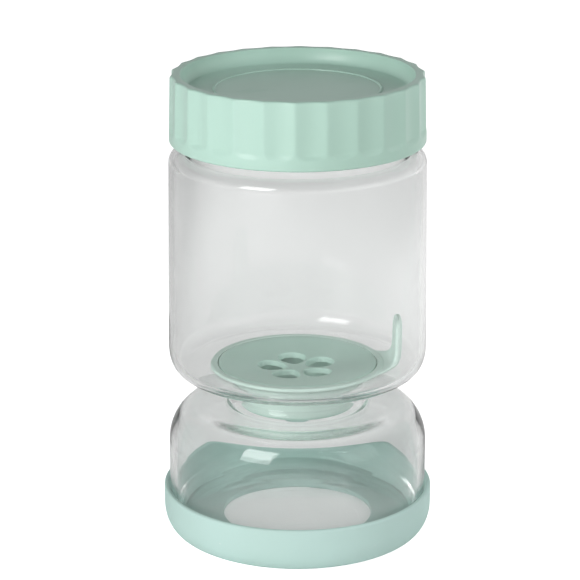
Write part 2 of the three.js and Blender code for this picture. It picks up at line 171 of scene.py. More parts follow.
world = bpy.data.worlds.new("studio")
scene.world = world
world.use_nodes = True
nodes, links = world.node_tree.nodes, world.node_tree.links
background = nodes["Background"]
direction = nodes.new("ShaderNodeTexCoord")
split = nodes.new("ShaderNodeSeparateXYZ")
links.new(direction.outputs["Generated"], split.inputs["Vector"])
overhead = fade(nodes, links, split.outputs["Z"], HORIZON_TO_CEILING, 1.0, CEILING_SHARE)
mirrored = fade(
    nodes, links, split.outputs["X"], LEFT_TO_RIGHT, MIRROR_ROOM * LEFT_ROOM_SHARE, MIRROR_ROOM
)
strength = seen_by(nodes, links, 1.0, mirrored, ROOM_LIGHT)
links.new(
    worked_out(nodes, links, "MULTIPLY", strength, overhead), background.inputs["Strength"]
)
background.inputs["Color"].default_value = (1, 1, 1, 1)
print("room light:", ROOM_LIGHT, "and overhead", round(ROOM_LIGHT * CEILING_SHARE, 2))

# %% [markdown]
# One large soft box stands to the left of the camera, a little above it. Its mirror image makes
# the short bright bars on the shoulder, on the neck and on the rim of the lid. The light that a
# tall window gives lower down comes from a second panel, which isn't seen in the glass. A weak
# panel on the right and a small one beside the lid keep that side from going dull.

# %% Lamps
AIM = Vector((0, 0, 0.09))


def add_panel(name, azimuth, elevation, distance, width, height, power):
    """A flat lamp that faces the keeper. Azimuth 0 is over the camera, and minus is to its left."""
    turn, rise = math.radians(azimuth), math.radians(elevation)
    away = Vector((
        math.sin(turn) * math.cos(rise),
        -math.cos(turn) * math.cos(rise),
        math.sin(rise),
    ))
    lamp = bpy.data.lights.new(name, "AREA")
    lamp.shape = "RECTANGLE"
    lamp.size, lamp.size_y = width, height
    lamp.energy = power
    panel = bpy.data.objects.new(name, lamp)
    panel.location = AIM + away * distance
    panel.rotation_mode = "QUATERNION"
    panel.rotation_quaternion = (-away).to_track_quat("-Z", "Y")
    panel.visible_camera = False
    scene.collection.objects.link(panel)
    print(name, "stands", distance, "m away")
    return panel


panels = [
    # name, azimuth, elevation, distance, width, height, power, and whether it shows in glass
    ("window_lamp", -39, 34, 1.3, 0.62, 0.75, 8.2, True),
    ("fill_panel", 60, 24, 0.6, 0.35, 0.35, 0.26, True),
    ("low_window", -30, 7, 1.3, 0.6, 0.6, 7.0, False),
    ("edge_panel", 98, 22, 0.5, 0.25, 0.25, 1.05, False),
]
for *settings, shows_in_glass in panels:
    panel = add_panel(*settings)
    panel.visible_glossy = shows_in_glass
    panel.visible_transmission = shows_in_glass

# %% [markdown]
# Nearly every piece here is round, so the same two hand moves make most of them. An outline of
# radius and height is drawn by extruding a single point along it, and is then spun about the
# upright axis. Rounded corners are written as arcs, because a smooth outline makes clean
# reflections and needs no smoothing afterwards. With no window open the spin turns clockwise about
# its axis, so the axis points down to make it turn the usual way.

# %% Drawing and spinning an outline
def arc(radius, height, across, up, start, stop, steps, fullness=2.0):
    """Points of a rounded corner about a centre, its angles in quarter turns from outwards."""
    points = []
    for step in range(steps + 1):
        angle = (start + (stop - start) * step / steps) * math.pi / 2
        cosine, sine = math.cos(angle), math.sin(angle)
        side = math.copysign(abs(cosine) ** (2 / fullness), cosine)
        rise = math.copysign(abs(sine) ** (2 / fullness), sine)
        points.append((radius + across * side, height + up * rise))
    return points


def straight(start, stop, steps):
    """Points along a straight stretch, its ends included."""
    shares = [step / steps for step in range(steps + 1)]
    return [tuple(a + (b - a) * share for a, b in zip(start, stop)) for share in shares]


def cubic(handles, steps):
    """Points along a smooth curve that four handles draw, its ends included."""
    points = []
    for step in range(steps + 1):
        t = step / steps
        weights = ((1 - t) ** 3, 3 * t * (1 - t) ** 2, 3 * t * t * (1 - t), t ** 3)
        points.append(tuple(
            sum(weight * handle[axis] for weight, handle in zip(weights, handles))
            for axis in (0, 1)
        ))
    return points


SHORTEST_STEP = 0.001
MERGE_DISTANCE = 0.002


def draw(name, places):
    """Draws a chain of edges through places in millimetres, one extrusion after another."""
    bpy.ops.object.select_all(action="DESELECT")
    bpy.ops.mesh.primitive_plane_add(size=MM)
    piece = bpy.context.object
    piece.name = name
    bpy.ops.object.mode_set(mode="EDIT")
    bpy.ops.mesh.select_all(action="SELECT")
    bpy.ops.mesh.merge(type="CENTER")
    bpy.ops.transform.translate(value=Vector(places[0]) * MM)
    for here, there in zip(places, places[1:]):
        step = (Vector(there) - Vector(here)) * MM
        if step.length > SHORTEST_STEP * MM:
            bpy.ops.mesh.extrude_region_move(TRANSFORM_OT_translate={"value": step})
    return piece


def spin(steps, angle=FULL_TURN, copies=False):
    """Spins what was drawn about the upright axis, and closes the seam and the poles."""
    bpy.ops.mesh.select_all(action="SELECT")
    bpy.ops.mesh.spin(
        steps=steps, angle=angle, dupli=copies, center=(0, 0, 0), axis=(0, 0, -1)
    )
    bpy.ops.mesh.select_all(action="SELECT")
    bpy.ops.mesh.remove_doubles(threshold=MERGE_DISTANCE * MM)
    bpy.ops.mesh.normals_make_consistent(inside=False)


def choose(wanted):
    """Selects the points of the mesh in edit mode whose place, in millimetres, passes a test."""
    bpy.ops.mesh.select_all(action="DESELECT")
    mesh = bmesh.from_edit_mesh(bpy.context.object.data)
    for point in mesh.verts:
        if wanted(point.co / MM):
            point.select_set(True)
    mesh.select_flush(True)
    bmesh.update_edit_mesh(bpy.context.object.data)


def finished(piece, body, node, crease=35):
    """Back to object mode, smooth up to a crease angle, and tied to the model it stands in."""
    bpy.ops.object.mode_set(mode="OBJECT")
    bpy.ops.object.shade_smooth_by_angle(angle=math.radians(crease))
    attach(piece, body)
    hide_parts(node)
    print(piece.name, "has", len(piece.data.polygons), "faces")


def turned(name, outline, steps):
    """A round piece from its outline of radius and height, still in edit mode."""
    piece = draw(name, [(radius, 0, height) for radius, height in outline])
    spin(steps)
    return piece


# %% [markdown]
# The jar is one blown vessel: a low chamber, a narrow neck and a tall chamber. Its outline goes up
# the outside and down the inside, because glass needs both faces of its wall. Light then bends
# in and out of a real thickness of 2.4 mm, which gives the grey edges and the green arcs that the
# sleeve throws into the lower chamber. Under the neck the wall is thicker and follows a free curve,
# because the arcs lie where they do only if the inside of that dome bends the light so.

# %% Jar
WALL = 2.4
GLASS_FOOT = 2.3
GLASS_FLOOR = 6.8
PUNT_RADIUS, PUNT_DEPTH = 38, 0.8
PUNT_EDGE_WIDTH, PUNT_EDGE_DEPTH = 2, 0.06
HEEL_INSET, HEEL_WIDTH, HEEL_HEIGHT = 47.5, 3.6, 7.7
FLOOR_CORNER_INSET, FLOOR_CORNER = 42.7, 6
DOME_TOP = 53.0
DOME_INSET, DOME_WIDTH, DOME_HEIGHT = 36.7, 14.4, 16.4
INNER_DOME_TOP = 50.2
EVEN_WALL_TURN = 0.365
WAIST = 58.8
WAIST_INSET = 29.6
WAIST_FILLET = 4.6
NECK_BORE = 22.0
FUNNEL_FILLET = 7.69
FLARE_FILLET = 5.04
FUNNEL_CENTRE = 58.11
CHAMBER_FOOT = 65.9
CHAMBER_INSET = 42.9
CHAMBER_CORNER_WIDTH, CHAMBER_CORNER_HEIGHT, CHAMBER_FULLNESS = 8, 12, 2.6
SHOULDER_FOOT = 150.5
SHOULDER_TOP = 155.0
SHOULDER_WALL = 1.5
SHOULDER_WIDTH, INNER_SHOULDER_WIDTH = 5.6, 5.8
FINISH_RADIUS = 44.4
FINISH_FOOT, FINISH_TOP = 155.2, 171.6
MOUTH_RADIUS = 41.8
LIP = 173.0
LIP_ROUNDING = 1.2

outer_dome = (DOME_INSET, DOME_TOP - DOME_HEIGHT, DOME_WIDTH, DOME_HEIGHT)
inner_wall = [(radius - WALL, height) for radius, height in arc(*outer_dome, EVEN_WALL_TURN, 0, 14)]
inner_dome_handles = [inner_wall[0], (44.81, 48.28), (42.5, INNER_DOME_TOP), (35, INNER_DOME_TOP)]
chamber_corner = (CHAMBER_INSET, CHAMBER_FOOT + CHAMBER_CORNER_HEIGHT)
shoulder_height = SHOULDER_TOP - SHOULDER_FOOT
jar_outline = [
    (0, GLASS_FOOT + PUNT_DEPTH),
    *straight(
        (PUNT_RADIUS - PUNT_EDGE_WIDTH, GLASS_FOOT + PUNT_EDGE_DEPTH), (PUNT_RADIUS, GLASS_FOOT), 2
    ),
    *arc(HEEL_INSET, GLASS_FOOT + HEEL_HEIGHT, HEEL_WIDTH, HEEL_HEIGHT, -1, 0, 10),
    *arc(*outer_dome, 0, 1, 24),
    *arc(WAIST_INSET, WAIST, WAIST_FILLET, WAIST - DOME_TOP, 3, 2, 10),
    *arc(WAIST_INSET, WAIST, WAIST_FILLET, WAIST_FILLET, 2, 1, 10),
    *arc(
        *chamber_corner, CHAMBER_CORNER_WIDTH, CHAMBER_CORNER_HEIGHT, -1, 0, 16, CHAMBER_FULLNESS
    ),
    *arc(FINISH_RADIUS, SHOULDER_FOOT, SHOULDER_WIDTH, shoulder_height, 0, 1, 14),
    *straight((FINISH_RADIUS, FINISH_FOOT), (FINISH_RADIUS, FINISH_TOP), 46),
    *arc(FINISH_RADIUS - LIP_ROUNDING, LIP - LIP_ROUNDING, LIP_ROUNDING, LIP_ROUNDING, 0, 1, 5),
    *arc(MOUTH_RADIUS + LIP_ROUNDING, LIP - LIP_ROUNDING, LIP_ROUNDING, LIP_ROUNDING, 1, 2, 5),
    *arc(
        MOUTH_RADIUS, SHOULDER_FOOT,
        INNER_SHOULDER_WIDTH, shoulder_height - SHOULDER_WALL, 1, 0, 14,
    ),
    *arc(
        *chamber_corner, CHAMBER_CORNER_WIDTH - WALL, CHAMBER_CORNER_HEIGHT - WALL,
        0, -1, 14, CHAMBER_FULLNESS,
    ),
    *arc(NECK_BORE + FUNNEL_FILLET, FUNNEL_CENTRE, FUNNEL_FILLET, FUNNEL_FILLET, 1, 2, 10),
    *arc(
        NECK_BORE + FLARE_FILLET, INNER_DOME_TOP + FLARE_FILLET,
        FLARE_FILLET, FLARE_FILLET, 2, 3, 12,
    ),
    *reversed(cubic(inner_dome_handles, 20)),
    *inner_wall[1:],
    *arc(FLOOR_CORNER_INSET, GLASS_FLOOR + FLOOR_CORNER, FLOOR_CORNER, FLOOR_CORNER, 0, -1, 10),
    (0, GLASS_FLOOR),
]
jar_glass = turned("jar_glass", jar_outline, steps=224)
finished(jar_glass, "jar", "glass_jar")

# %% [markdown]
# The screw thread is a rounded bead that winds up the mouth. It is raised out of the wall by a
# Displace modifier, whose strength at each point comes from a vertex group, so the bead and the
# wall stay one skin of glass and no seam shows inside it. The lid's bead is made in the same way.

# %% Screw thread
THREAD_LEAD = 9.0
THREAD_STARTS = 2
THREAD_HEIGHT = 1.1
THREAD_HALF_WIDTH = 1.25
THREAD_SECTION_POWER = 1.2
THREAD_RUN_IN = 0.06
THREAD_FOOT = 160.4
THREAD_START, THREAD_TURNS = 0.125, 0.92
ON_THE_WALL = 0.05


def raise_thread(piece, radius, foot, first_turn, turns):
    """Winds a bead of thread round the wall that a piece has at a radius."""
    bead = piece.vertex_groups.new(name="thread")
    for point in piece.data.vertices:
        x, y, height = point.co / MM
        weight = 0.0
        if abs(math.hypot(x, y) - radius) < ON_THE_WALL:
            for start in range(THREAD_STARTS):
                turn = (math.atan2(y, x) / FULL_TURN - first_turn - start / THREAD_STARTS) % 1.0
                if turn < turns:
                    away = abs(height - foot - THREAD_LEAD * turn) / THREAD_HALF_WIDTH
                    ends = min(1.0, min(turn, turns - turn) / THREAD_RUN_IN)
                    section = (1 - min(1.0, away) ** 2) ** THREAD_SECTION_POWER
                    weight = max(weight, section * ends)
        if weight > 0:
            bead.add([point.index], weight, "REPLACE")
    bpy.ops.object.modifier_add(type="DISPLACE")
    push = piece.modifiers[-1]
    push.direction = "NORMAL"
    push.mid_level = 0
    push.strength = THREAD_HEIGHT * MM
    push.vertex_group = bead.name
    bpy.ops.object.modifier_apply(modifier=push.name)
    piece.vertex_groups.remove(piece.vertex_groups["thread"])


raise_thread(jar_glass, FINISH_RADIUS, THREAD_FOOT, THREAD_START, THREAD_TURNS)
print("the thread climbs", THREAD_LEAD, "mm a turn")

# %% [markdown]
# The lid's cover is moulded with 26 shallow flutes for grip. One flute is made, on a wedge of the
# lid that is a 26th of a turn wide, and is then copied round. Each column of points across the
# wedge is pushed in by the depth of a shallow hollow, and near the foot of the flute the push dies
# away along a rounded line, which makes the scoop.

# %% Lid cover
COVER_FOOT, COVER_TOP = 158.8, 185.0
COVER_BORE = 47.3
COVER_FLOOR = 177.3
RIM_HOLLOW_WIDTH, RIM_HOLLOW_HEIGHT, RIM_HOLLOW_TIP = 4, 4.4, 1
BORE_STEP = 1
FOOT_INSET = 48.9
INNER_FOOT_EDGE, OUTER_FOOT_EDGE = 0.25, 0.8
RIM_EDGE, INNER_RIM_EDGE = 0.9, 0.4
RIM_INNER = 45.45
COVE_INSET, COVE_WIDTH = 42.05, 3.0
RECESS_FLOOR = 179.1
RING_RADIUS, RING_HALF_WIDTH, RING_HEIGHT = 32.0, 0.6, 0.5

side_foot, scoop_end = (49.68, COVER_FOOT + 1.2), (49.54, COVER_FOOT + 9.5)
plain_foot, side_top = (49.5, COVER_FOOT + 10.5), (49.15, COVER_TOP - RIM_EDGE)
cover_outline = [
    (0, COVER_FLOOR),
    (COVER_BORE - RIM_HOLLOW_WIDTH, COVER_FLOOR),
    (COVER_BORE - RIM_HOLLOW_TIP, COVER_FLOOR + RIM_HOLLOW_HEIGHT),
    (COVER_BORE, COVER_FLOOR),
    *straight(
        (COVER_BORE, COVER_FLOOR - BORE_STEP), (COVER_BORE, COVER_FOOT + INNER_FOOT_EDGE), 4
    ),
    (COVER_BORE + INNER_FOOT_EDGE, COVER_FOOT),
    *arc(FOOT_INSET, COVER_FOOT + OUTER_FOOT_EDGE, OUTER_FOOT_EDGE, OUTER_FOOT_EDGE, -1, 0, 5),
    *straight(side_foot, scoop_end, 24),
    *straight(plain_foot, side_top, 5),
    *arc(side_top[0] - RIM_EDGE, side_top[1], RIM_EDGE, RIM_EDGE, 0, 1, 6),
    *arc(RIM_INNER, COVER_TOP - INNER_RIM_EDGE, INNER_RIM_EDGE, INNER_RIM_EDGE, 1, 1.8, 3),
    *arc(COVE_INSET, COVER_TOP, COVE_WIDTH, COVER_TOP - RECESS_FLOOR, -0.08, -1, 12),
    *arc(RING_RADIUS, RECESS_FLOOR, RING_HALF_WIDTH, RING_HEIGHT, 0, 2, 8),
    (0, RECESS_FLOOR),
]
print("the cover is", round(COVER_TOP - COVER_FOOT, 1), "mm tall")

# %% Flutes
FLUTES = 26
FLUTE_COLUMNS = 16
FLUTE_DEPTH = 0.9
FLUTE_FOOT = 3.8
FLUTE_SECTION_POWER = 1.3
SCOOP = 2.4
FLUTE_TURN = math.radians(5.7)
WEDGE = FULL_TURN / FLUTES
FLUTE_FULL = COVER_FOOT + FLUTE_FOOT + 2 * SCOOP
OUTSIDE_START = COVER_BORE + 0.15
LEVEL_MARGIN = 0.1
SAME_COLUMN = 0.01 * WEDGE


def flute_depth(across, height):
    """How deep the flute is at a place across it, from -1 to 1, and at a height."""
    foot = COVER_FOOT + FLUTE_FOOT + SCOOP * across ** 4
    share = min(1.0, max(0.0, (height - foot) / SCOOP))
    section = (1 - across ** 2) ** FLUTE_SECTION_POWER
    return FLUTE_DEPTH * section * share * share * (3 - 2 * share)


lid_shell = draw("lid_shell", [(radius, 0, height) for radius, height in cover_outline])
spin(FLUTE_COLUMNS, WEDGE)
scoop_levels = sorted({
    height for radius, height in cover_outline
    if radius > OUTSIDE_START and height <= FLUTE_FULL + LEVEL_MARGIN
})
for column in range(1, FLUTE_COLUMNS):
    angle = WEDGE * column / FLUTE_COLUMNS
    across = 2 * column / FLUTE_COLUMNS - 1
    inwards = Vector((-math.cos(angle), -math.sin(angle), 0))

    def on_column(place):
        """Whether a point is on this column of the lid's outside."""
        turned_by = math.atan2(place.y, place.x) - angle
        return place.xy.length > OUTSIDE_START and abs(turned_by) < SAME_COLUMN

    choose(lambda place: on_column(place) and place.z > FLUTE_FULL + LEVEL_MARGIN)
    bpy.ops.transform.translate(value=inwards * flute_depth(across, COVER_TOP) * MM)
    for level in scoop_levels:
        depth = flute_depth(across, level)
        if depth > SHORTEST_STEP:
            choose(lambda place: on_column(place) and abs(place.z - level) < MERGE_DISTANCE)
            bpy.ops.transform.translate(value=inwards * depth * MM)
spin(FLUTES - 1, WEDGE * (FLUTES - 1), copies=True)
bpy.ops.transform.rotate(value=-FLUTE_TURN, orient_axis="Z", center_override=(0, 0, 0))
finished(lid_shell, "lid", "lid_cover", crease=24)

# %% [markdown]
# Inside the cover sits a plain threaded cap, the liner, and in its corner a soft ring that seals
# on the lip of the jar. Both are hidden while the keeper is closed and are seen when the lid comes
# off, so they get the thread, the rounded edges and the fine sealing grooves that such rings have.

# %% Lid liner
LINER_BORE = 45.9
LINER_WALL = 1.1
LINER_FOOT, LINER_FLOOR, LINER_TOP = 159.1, 175.4, 177.0
LINER_EDGE, BORE_LIFT = 0.3, 0.5
PLUG_RIB = 41.4
RIB_ROOT_WIDTH, RIB_TIP_WIDTH, RIB_EDGE = 0.9, 0.8, 0.2
GASKET_FOOT, GASKET_TOP = 173.3, 175.1
LID_THREAD_FOOT = 160.6
LID_THREAD_DELAY, LID_THREAD_TURNS = 0.25, 0.55

rib_tip = GASKET_FOOT + RIB_EDGE
liner_outline = [
    (0, LINER_FLOOR),
    (PLUG_RIB - RIB_ROOT_WIDTH, LINER_FLOOR),
    *arc(PLUG_RIB - RIB_TIP_WIDTH + RIB_EDGE, rib_tip, RIB_EDGE, RIB_EDGE, 2, 3, 3),
    *arc(PLUG_RIB - RIB_EDGE, rib_tip, RIB_EDGE, RIB_EDGE, -1, 0, 3),
    (PLUG_RIB, LINER_FLOOR),
    *arc(LINER_BORE - LINER_EDGE, LINER_FLOOR - LINER_EDGE, LINER_EDGE, LINER_EDGE, 1, 0, 3),
    *straight(
        (LINER_BORE, LINER_FLOOR - 2 * LINER_EDGE), (LINER_BORE, LINER_FOOT + BORE_LIFT), 44
    ),
    *arc(LINER_BORE + LINER_EDGE, LINER_FOOT + LINER_EDGE, LINER_EDGE, LINER_EDGE, 2, 3, 3),
    *arc(
        LINER_BORE + LINER_WALL - LINER_EDGE, LINER_FOOT + LINER_EDGE,
        LINER_EDGE, LINER_EDGE, -1, 0, 3,
    ),
    *arc(LINER_BORE, LINER_TOP - LINER_WALL, LINER_WALL, LINER_WALL, 0, 1, 4),
    (0, LINER_TOP),
]
lid_cap = turned("lid_threaded_cap", liner_outline, steps=160)
finished(lid_cap, "lid", "lid_liner")
raise_thread(
    lid_cap, LINER_BORE, LID_THREAD_FOOT, THREAD_START + LID_THREAD_DELAY, LID_THREAD_TURNS
)

# %% Gasket
GASKET_INNER, GASKET_OUTER = 41.7, 45.5
GASKET_EDGE = 0.45
GROOVE_HALF_WIDTH, GROOVE_DEPTH = 0.22, 0.16
groove_shares = [0.25, 0.5, 0.75]

under, over = [], []
for share in groove_shares:
    middle = GASKET_INNER + (GASKET_OUTER - GASKET_INNER) * share
    under += arc(middle, GASKET_FOOT, GROOVE_HALF_WIDTH, GROOVE_DEPTH, 2, 0, 4)
    over = arc(middle, GASKET_TOP, GROOVE_HALF_WIDTH, -GROOVE_DEPTH, 0, 2, 4) + over
inner_edge, outer_edge = GASKET_INNER + GASKET_EDGE, GASKET_OUTER - GASKET_EDGE
lower_edge, upper_edge = GASKET_FOOT + GASKET_EDGE, GASKET_TOP - GASKET_EDGE
gasket_outline = [
    *arc(inner_edge, lower_edge, GASKET_EDGE, GASKET_EDGE, 2, 3, 4),
    *under,
    *arc(outer_edge, lower_edge, GASKET_EDGE, GASKET_EDGE, -1, 0, 4),
    *arc(outer_edge, upper_edge, GASKET_EDGE, GASKET_EDGE, 0, 1, 4),
    *over,
    *arc(inner_edge, upper_edge, GASKET_EDGE, GASKET_EDGE, 1, 2, 4),
    (GASKET_INNER, lower_edge),
]
gasket_ring = turned("gasket_ring", gasket_outline, steps=160)
finished(gasket_ring, "lid_seal", "lid_gasket")

# %% [markdown]
# The strainer's plate starts as a flat disc. Five petals are cut from it while it is flat: the
# cutter is one petal that is extruded downwards and narrowed on the way, so each hole gets a
# rounded lip and sloping walls. The middle point is then pulled down with proportional editing,
# whose inverse square falloff is exactly a shallow dish. The skirt that plugs into the collar is
# extruded from the underside last, so that it stays upright.

# %% Strainer plate
PLATE_RADIUS = 31.3
PLATE_TOP = 68.66
PLATE_THICKNESS, HUB_THICKNESS = 1.15, 2.0
PLATE_EDGE = 0.25
DISH_RADIUS = 29.5
DISH_DEPTH = 2.6
SKIRT_OUTER, SKIRT_INNER = 20.6, 19.2
SKIRT_FOOT = 49.6

plate_foot, hub_foot = PLATE_TOP - PLATE_THICKNESS, PLATE_TOP - HUB_THICKNESS
edge_inset = PLATE_RADIUS - PLATE_EDGE
rings = [
    1, 2.5, 4, 6, 8, 10, 12, 14, 16, 17.5, SKIRT_INNER, SKIRT_OUTER, 22, 24, 26, 28, DISH_RADIUS
]
plate_outline = [
    (0, hub_foot),
    *[(radius, hub_foot if radius <= SKIRT_INNER else plate_foot) for radius in rings],
    *arc(edge_inset, plate_foot + PLATE_EDGE, PLATE_EDGE, PLATE_EDGE, -1, 0, 3),
    *arc(edge_inset, PLATE_TOP - PLATE_EDGE, PLATE_EDGE, PLATE_EDGE, 0, 1, 3),
    *[(radius, PLATE_TOP) for radius in reversed(rings)],
    (0, PLATE_TOP),
]
strainer_disc = turned("strainer_disc", plate_outline, steps=144)
bpy.ops.object.mode_set(mode="OBJECT")
print("the flat disc has", len(strainer_disc.data.polygons), "faces on", len(rings), "rings")

# %% Petal cutter
PETALS = 5
PETAL_TIP = 4.0
PETAL_LENGTH = 11.7
PETAL_WIDTH = 11.0
PETAL_TURN = math.radians(29.5)
PETAL_ROUNDING = 0.5
WALL_SLOPE = 0.6
CUTTER_TOP, CUTTER_OVERRUN = 1.0, 0.6
middle_share = 0.55
petal_curve_shares = [
    ((0, 0), (0, -0.15), (0.3, -0.5), (0.6, -0.5)),
    ((0.6, -0.5), (0.85, -0.5), (1, -0.25), (1, 0)),
    ((1, 0), (1, 0.25), (0.85, 0.5), (0.6, 0.5)),
    ((0.6, 0.5), (0.3, 0.5), (0, 0.15), (0, 0)),
]

petal_places = [
    (PETAL_TIP + PETAL_LENGTH * along, PETAL_WIDTH * across, PLATE_TOP + CUTTER_TOP)
    for curve in petal_curve_shares
    for along, across in cubic(curve, 8)[:-1]
]
petal_cutter = draw("petal_cutter", petal_places)
bpy.ops.mesh.select_all(action="SELECT")
bpy.ops.mesh.edge_face_add()
middle = (PETAL_TIP + PETAL_LENGTH * middle_share, 0, PLATE_TOP)


def widen_petal(margin, before):
    """Widens the chosen outline of the petal from one margin to another, about its middle."""
    half_length, half_width = PETAL_LENGTH / 2, PETAL_WIDTH / 2
    bpy.ops.transform.resize(
        value=(
            (half_length + margin) / (half_length + before),
            (half_width + margin) / (half_width + before),
            1,
        ),
        center_override=Vector(middle) * MM,
    )


widen_petal(PETAL_ROUNDING, 0)
height, margin = CUTTER_TOP, PETAL_ROUNDING
rounding = [
    (-PETAL_ROUNDING * (1 - math.cos(angle)), PETAL_ROUNDING * (1 - math.sin(angle)))
    for angle in (0.05, 0.35, 0.7, 1.05, 1.35, math.pi / 2)
]
for next_height, next_margin in [*rounding, (-HUB_THICKNESS - CUTTER_OVERRUN, -WALL_SLOPE)]:
    bpy.ops.mesh.extrude_region_move(
        TRANSFORM_OT_translate={"value": (0, 0, (next_height - height) * MM)}
    )
    widen_petal(next_margin, margin)
    height, margin = next_height, next_margin
bpy.ops.mesh.select_all(action="SELECT")
bpy.ops.transform.rotate(value=-PETAL_TURN, orient_axis="Z", center_override=(0, 0, 0))
spin(PETALS - 1, FULL_TURN * (PETALS - 1) / PETALS, copies=True)
bpy.ops.object.mode_set(mode="OBJECT")
print("the cutter has", len(petal_cutter.data.polygons), "faces in", PETALS, "petals")

# %% Cutting and dishing
def combine(piece, tool, operation):
    """Cuts or joins a piece with another one, which is then deleted."""
    bpy.ops.object.select_all(action="DESELECT")
    bpy.context.view_layer.objects.active = piece
    piece.select_set(True)
    bpy.ops.object.modifier_add(type="BOOLEAN")
    boolean = piece.modifiers[-1]
    boolean.operation = operation
    boolean.object = tool
    boolean.solver = "EXACT"
    bpy.ops.object.modifier_apply(modifier=boolean.name)
    bpy.data.objects.remove(tool)


NEAR_THE_MIDDLE = 0.01
combine(strainer_disc, petal_cutter, "DIFFERENCE")
bpy.ops.object.mode_set(mode="EDIT")
choose(lambda place: place.xy.length < NEAR_THE_MIDDLE and place.z > PLATE_TOP - NEAR_THE_MIDDLE)
bpy.ops.transform.translate(
    value=(0, 0, -DISH_DEPTH * MM),
    use_proportional_edit=True,
    proportional_edit_falloff="INVERSE_SQUARE",
    proportional_size=DISH_RADIUS * MM,
)
lowered = [point.co.z / MM for point in bmesh.from_edit_mesh(strainer_disc.data).verts]
print("the plate now reaches from", round(min(lowered), 2), "to", round(max(lowered), 2), "mm")

# %% Skirt with its snap bead
BEAD_TOP = 50.7
BEAD_PROUD = 0.8
BEAD_STEP, BEAD_EDGE = 0.1, 0.5
SKIRT_ROOT, PLATE_UNDERSIDE = 66.1, 66.6
ON_THE_LEVEL, ON_THE_SKIRT = 0.02, 0.05


def extrude_down(height, before):
    """Extrudes the chosen faces down from one height to another, and levels them there."""
    bpy.ops.mesh.extrude_region_move(
        TRANSFORM_OT_translate={"value": (0, 0, (height - before) * MM)}
    )
    bpy.ops.transform.resize(value=(1, 1, 0), center_override=(0, 0, height * MM))


def widen_outer_edge(height, radius, before):
    """Widens the skirt's outer edge at one height."""
    choose(lambda place: abs(place.z - height) < ON_THE_LEVEL
           and place.xy.length > SKIRT_OUTER - 2 * ON_THE_SKIRT)
    bpy.ops.transform.resize(value=(radius / before, radius / before, 1), center_override=(0, 0, 0))
    choose(lambda place: abs(place.z - height) < ON_THE_LEVEL)


choose(lambda place: place.z < PLATE_UNDERSIDE
       and SKIRT_INNER - ON_THE_SKIRT < place.xy.length < SKIRT_OUTER + ON_THE_SKIRT)
extrude_down(BEAD_TOP + BEAD_STEP, SKIRT_ROOT)
extrude_down(BEAD_TOP, BEAD_TOP + BEAD_STEP)
widen_outer_edge(BEAD_TOP, SKIRT_OUTER + BEAD_PROUD, SKIRT_OUTER)
extrude_down(BEAD_TOP - BEAD_EDGE, BEAD_TOP)
extrude_down(SKIRT_FOOT, BEAD_TOP - BEAD_EDGE)
widen_outer_edge(SKIRT_FOOT, SKIRT_OUTER, SKIRT_OUTER + BEAD_PROUD)
bpy.ops.mesh.select_all(action="SELECT")
bpy.ops.mesh.normals_make_consistent(inside=False)
finished(strainer_disc, "strainer", "strainer_plate", crease=30)

# %% [markdown]
# The seal is one soft moulding: a ring that the plate is pressed into, a thin funnel under it and a
# collar that plugs the neck. The collar goes a hair into the glass, as soft rubber does when it is
# pressed flat, so no air shows between them. The lift tab leaves the ring flat, bends up and ends
# in a rounded tip.
# The tab is extruded section by section along that bend, softened by subdivision, and wrapped
# round the axis so that it follows the wall of the jar. A Boolean then joins it to the ring.

# %% Strainer seal ring
COLLAR_BORE, COLLAR_RADIUS = 20.9, 22.02
COLLAR_FOOT = 51.0
COLLAR_EDGE = 0.25
OUTER_FUNNEL, INNER_FUNNEL = 7.67, 8.8
SEAL_INNER, SEAL_RADIUS = 31.6, 34.4
SEAL_UNDER, SEAL_SHELF = 66.99, 67.2
UNDER_EDGE, OVER_EDGE, SEAT_EDGE = 0.6, 0.8, 0.25

collar_edge = COLLAR_FOOT + COLLAR_EDGE
seal_outline = [
    *arc(COLLAR_BORE + COLLAR_EDGE, collar_edge, COLLAR_EDGE, COLLAR_EDGE, 2, 3, 2),
    *arc(COLLAR_RADIUS - COLLAR_EDGE, collar_edge, COLLAR_EDGE, COLLAR_EDGE, -1, 0, 2),
    *arc(COLLAR_RADIUS + OUTER_FUNNEL, FUNNEL_CENTRE, OUTER_FUNNEL, OUTER_FUNNEL, 2, 1.1, 12),
    *arc(SEAL_RADIUS - UNDER_EDGE, SEAL_UNDER + UNDER_EDGE, UNDER_EDGE, UNDER_EDGE, -1, 0, 5),
    *arc(SEAL_RADIUS - OVER_EDGE, PLATE_TOP - OVER_EDGE, OVER_EDGE, OVER_EDGE, 0, 1, 6),
    *arc(SEAL_INNER + SEAT_EDGE, PLATE_TOP - SEAT_EDGE, SEAT_EDGE, SEAT_EDGE, 1, 2, 3),
    (SEAL_INNER, SEAL_SHELF),
    *arc(COLLAR_BORE + INNER_FUNNEL, FUNNEL_CENTRE, INNER_FUNNEL, INNER_FUNNEL, 1, 2, 12),
    (COLLAR_BORE, collar_edge),
]
seal_ring = turned("seal_ring", seal_outline, steps=192)
bpy.ops.object.mode_set(mode="OBJECT")
print("the collar is pressed", round(COLLAR_RADIUS - NECK_BORE, 2), "mm into the neck")

# %% Lift tab
tab_sections = [
    # outwards, height, tilt in degrees, half the width, thickness
    (32.9, 67.72, 0, 17.5, 1.2),
    (34.6, 67.8, 0, 15.5, 1.5),
    (36.6, 68.25, 15, 12.5, 1.9),
    (38.5, 69.4, 50, 10.3, 2.5),
    (39.7, 71.5, 78, 9.4, 2.8),
    (39.9, 75.5, 90, 8.9, 2.8),
    (39.9, 81.5, 90, 8.7, 2.8),
    (39.9, 85.2, 90, 7.6, 2.7),
    (39.9, 87.2, 90, 4.6, 1.8),
]
TAB_COLUMNS = 4
TAB_SOFTNESS = 3

